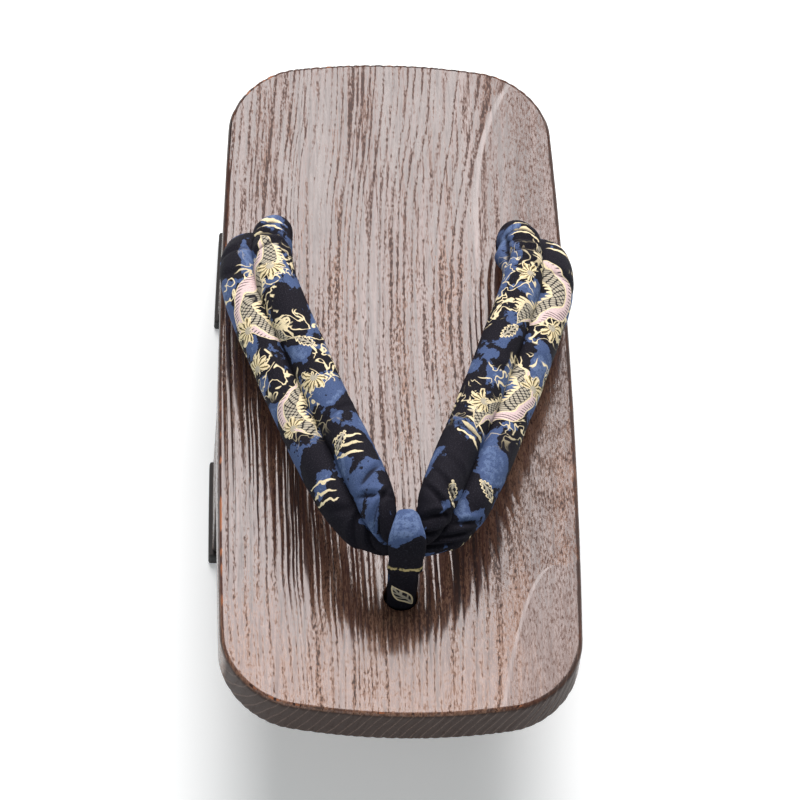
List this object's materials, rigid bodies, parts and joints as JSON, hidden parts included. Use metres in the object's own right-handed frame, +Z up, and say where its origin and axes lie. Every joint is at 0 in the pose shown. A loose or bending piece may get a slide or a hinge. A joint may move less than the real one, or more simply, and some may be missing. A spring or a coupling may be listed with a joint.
{
  "type": "geta",
  "caption": "Flat wooden sandal on two cross teeth with rubber treads, held by a padded double-roll cloth strap and a toe loop.",
  "frame": {"origin": "on the floor under the middle of the deck", "axes": "+Z up, +Y towards the heel, +X to the wearer's left when the toe points away along -Y"},
  "size_m": [0.1228, 0.265, 0.1032],
  "materials": {
    "wood": "burnt, brushed and lacquered",
    "rubber": "matt",
    "cloth": "printed cotton over padding"
  },
  "bodies": {
    "root": {"deck": "wood", "front_tooth": "wood", "rear_tooth": "wood", "front_tread": "rubber", "rear_tread": "rubber", "strap": "cloth", "toe_loop": "cloth"}
  },
  "joints": []
}
